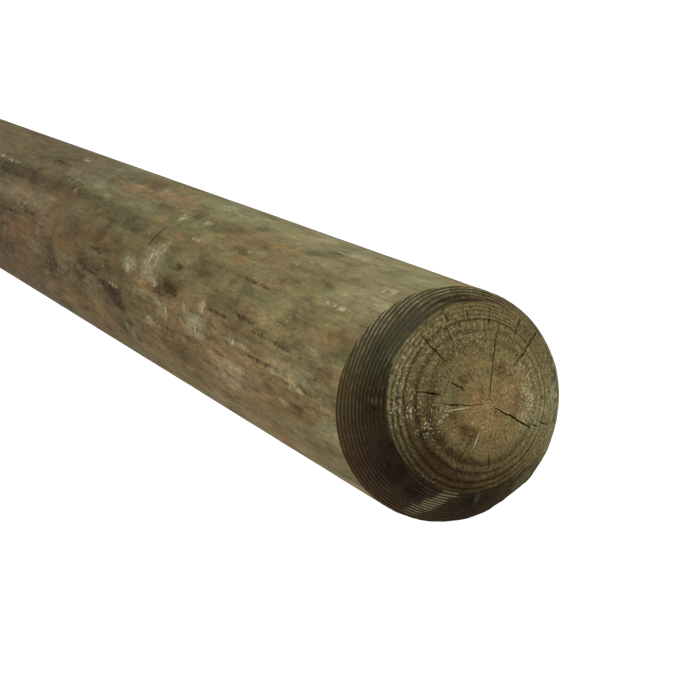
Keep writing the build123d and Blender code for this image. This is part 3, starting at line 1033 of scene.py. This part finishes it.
def wood_material():
    """One treated pine, with a look each for the shaft, the sawn faces and the chamfers."""
    material = bpy.data.materials.new("treated_pine_wood")
    n = Nodes(material)
    place = n.add("TexCoord").outputs["Object"]
    tone = n.attribute("wood_tone", "Color")
    on_face = n.attribute("face_share")
    on_chamfer = n.attribute("chamfer_share")
    distance = ring_distance(n, place)

    shaft_colour, shaft_height = shaft_look(n, place, tone)
    face_colour, face_height = face_look(n, place, tone, distance)
    chamfer_colour, chamfer_height = chamfer_look(n, place, tone, distance)
    colour = n.mix(on_chamfer, n.mix(on_face, shaft_colour, face_colour), chamfer_colour)
    # The open drying checks of a sawn face are painted dark: painted shade inside them.
    gap = n.less(n.attribute("check_half_width"), n.size(n.attribute("check_offset")))
    split = n.times(n.step(gap, -0.22, 0.14), on_face)
    colour = n.cover(colour, CHECK_SHADE, split, 0.85)

    end_height = n.mix(on_chamfer, face_height, chamfer_height)
    height = n.mix(n.plus(on_face, on_chamfer), shaft_height, end_height)
    bumps = n.add("Bump", {"Height": height, "Strength": 0.6, "Distance": BUMP_DEPTH * MM}).outputs[0]
    values = {"Base Color": colour, "Roughness": ROUGHNESS, "Specular IOR Level": SHINE, "Normal": bumps}
    n.add("OutputMaterial", {"Surface": n.add("BsdfPrincipled", values).outputs[0]})
    return material


def build_pole():
    shaft_top = TOP_SHOULDER - END_OVERLAP
    shaft_low = FOOT_CHAMFER_WIDTH + END_OVERLAP
    pieces = [
        top_end(),
        shaft_piece("pole_upper", shaft_top, SPLIT_HEIGHT, UPPER_ROWS, UPPER_ROW_GROWTH),
        shaft_piece("pole_lower", SPLIT_HEIGHT, shaft_low, LOWER_ROWS, 1.0),
        foot_end(),
    ]
    wood = wood_material()
    for piece in pieces:
        piece.data.materials.append(wood)
        piece.data.set_sharp_from_angle(angle=math.radians(55))
        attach(piece, "root")
        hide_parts("pole")


FLOOR_HALF = 12.0
FLOOR_TONE = (0.8, 0.8, 0.8, 1.0)
FLOOR_GLOW = 0.45
WHITE = (1.0, 1.0, 1.0, 1.0)


def build_floor():
    """A pale floor that looks white where no shadow falls on it."""
    low, high = -FLOOR_HALF, FLOOR_HALF
    mesh = bpy.data.meshes.new("floor")
    mesh.from_pydata([(low, low, 0), (high, low, 0), (high, high, 0), (low, high, 0)], [], [(0, 1, 2, 3)])
    floor = put_in_scene("floor", mesh)
    material = bpy.data.materials.new("floor_white")
    n = Nodes(material)
    seen = n.add("LightPath").outputs["Is Camera Ray"]
    matt = n.add("BsdfDiffuse", {"Color": FLOOR_TONE}).outputs[0]
    glow = n.add("Emission", {"Color": WHITE, "Strength": n.times(seen, FLOOR_GLOW)}).outputs[0]
    both = n.add("AddShader", {0: matt, 1: glow}).outputs[0]
    n.add("OutputMaterial", {"Surface": both})
    mesh.materials.append(material)


AMBIENT = 0.62


def build_world():
    """White to the camera, a plain soft level of light to the pole."""
    world = bpy.data.worlds.new("studio")
    bpy.context.scene.world = world
    n = Nodes(world)
    path = n.add("LightPath")
    seen = n.maths("MAXIMUM", path.outputs["Is Camera Ray"], path.outputs["Is Glossy Ray"])
    seen = n.maths("MAXIMUM", seen, path.outputs["Is Transmission Ray"])
    level = n.step(seen, 0.0, 1.0, AMBIENT, 1.0)
    sky = n.add("Background", {"Color": WHITE, "Strength": level}).outputs[0]
    n.add("OutputWorld", {"Surface": sky})


SUN_FROM = Vector((-0.85, -0.42, 0.85))
SUN_STRENGTH = 1.3
SUN_ANGLE = math.radians(25.0)


def build_sun():
    sun = put_in_scene("sun", bpy.data.lights.new("sun", "SUN"))
    sun.data.energy = SUN_STRENGTH
    sun.data.angle = SUN_ANGLE
    sun.rotation_euler = SUN_FROM.to_track_quat("Z", "Y").to_euler()


# The camera looks down at the top end, past the side of the pole that faces -Y.
CAMERA_PLACE = Vector((0.0, -0.6534, 3.86585))
CAMERA_AIM = Vector((-0.004, -0.07489, 2.37074))
CAMERA_ROLL = math.radians(115.2405)
CAMERA_LENS = 133.92
CAMERA_SENSOR = 36.0


def build_camera():
    camera = put_in_scene("camera", bpy.data.cameras.new("camera"))
    camera.location = CAMERA_PLACE
    facing = (CAMERA_PLACE - CAMERA_AIM).to_track_quat("Z", "Y")
    camera.rotation_euler = (facing @ Quaternion((0, 0, 1), CAMERA_ROLL)).to_euler()
    camera.data.lens = CAMERA_LENS
    camera.data.sensor_width = CAMERA_SENSOR
    bpy.context.scene.camera = camera


build_pole()
build_floor()
build_world()
build_sun()
build_camera()
bpy.context.scene.view_settings.view_transform = "Standard"
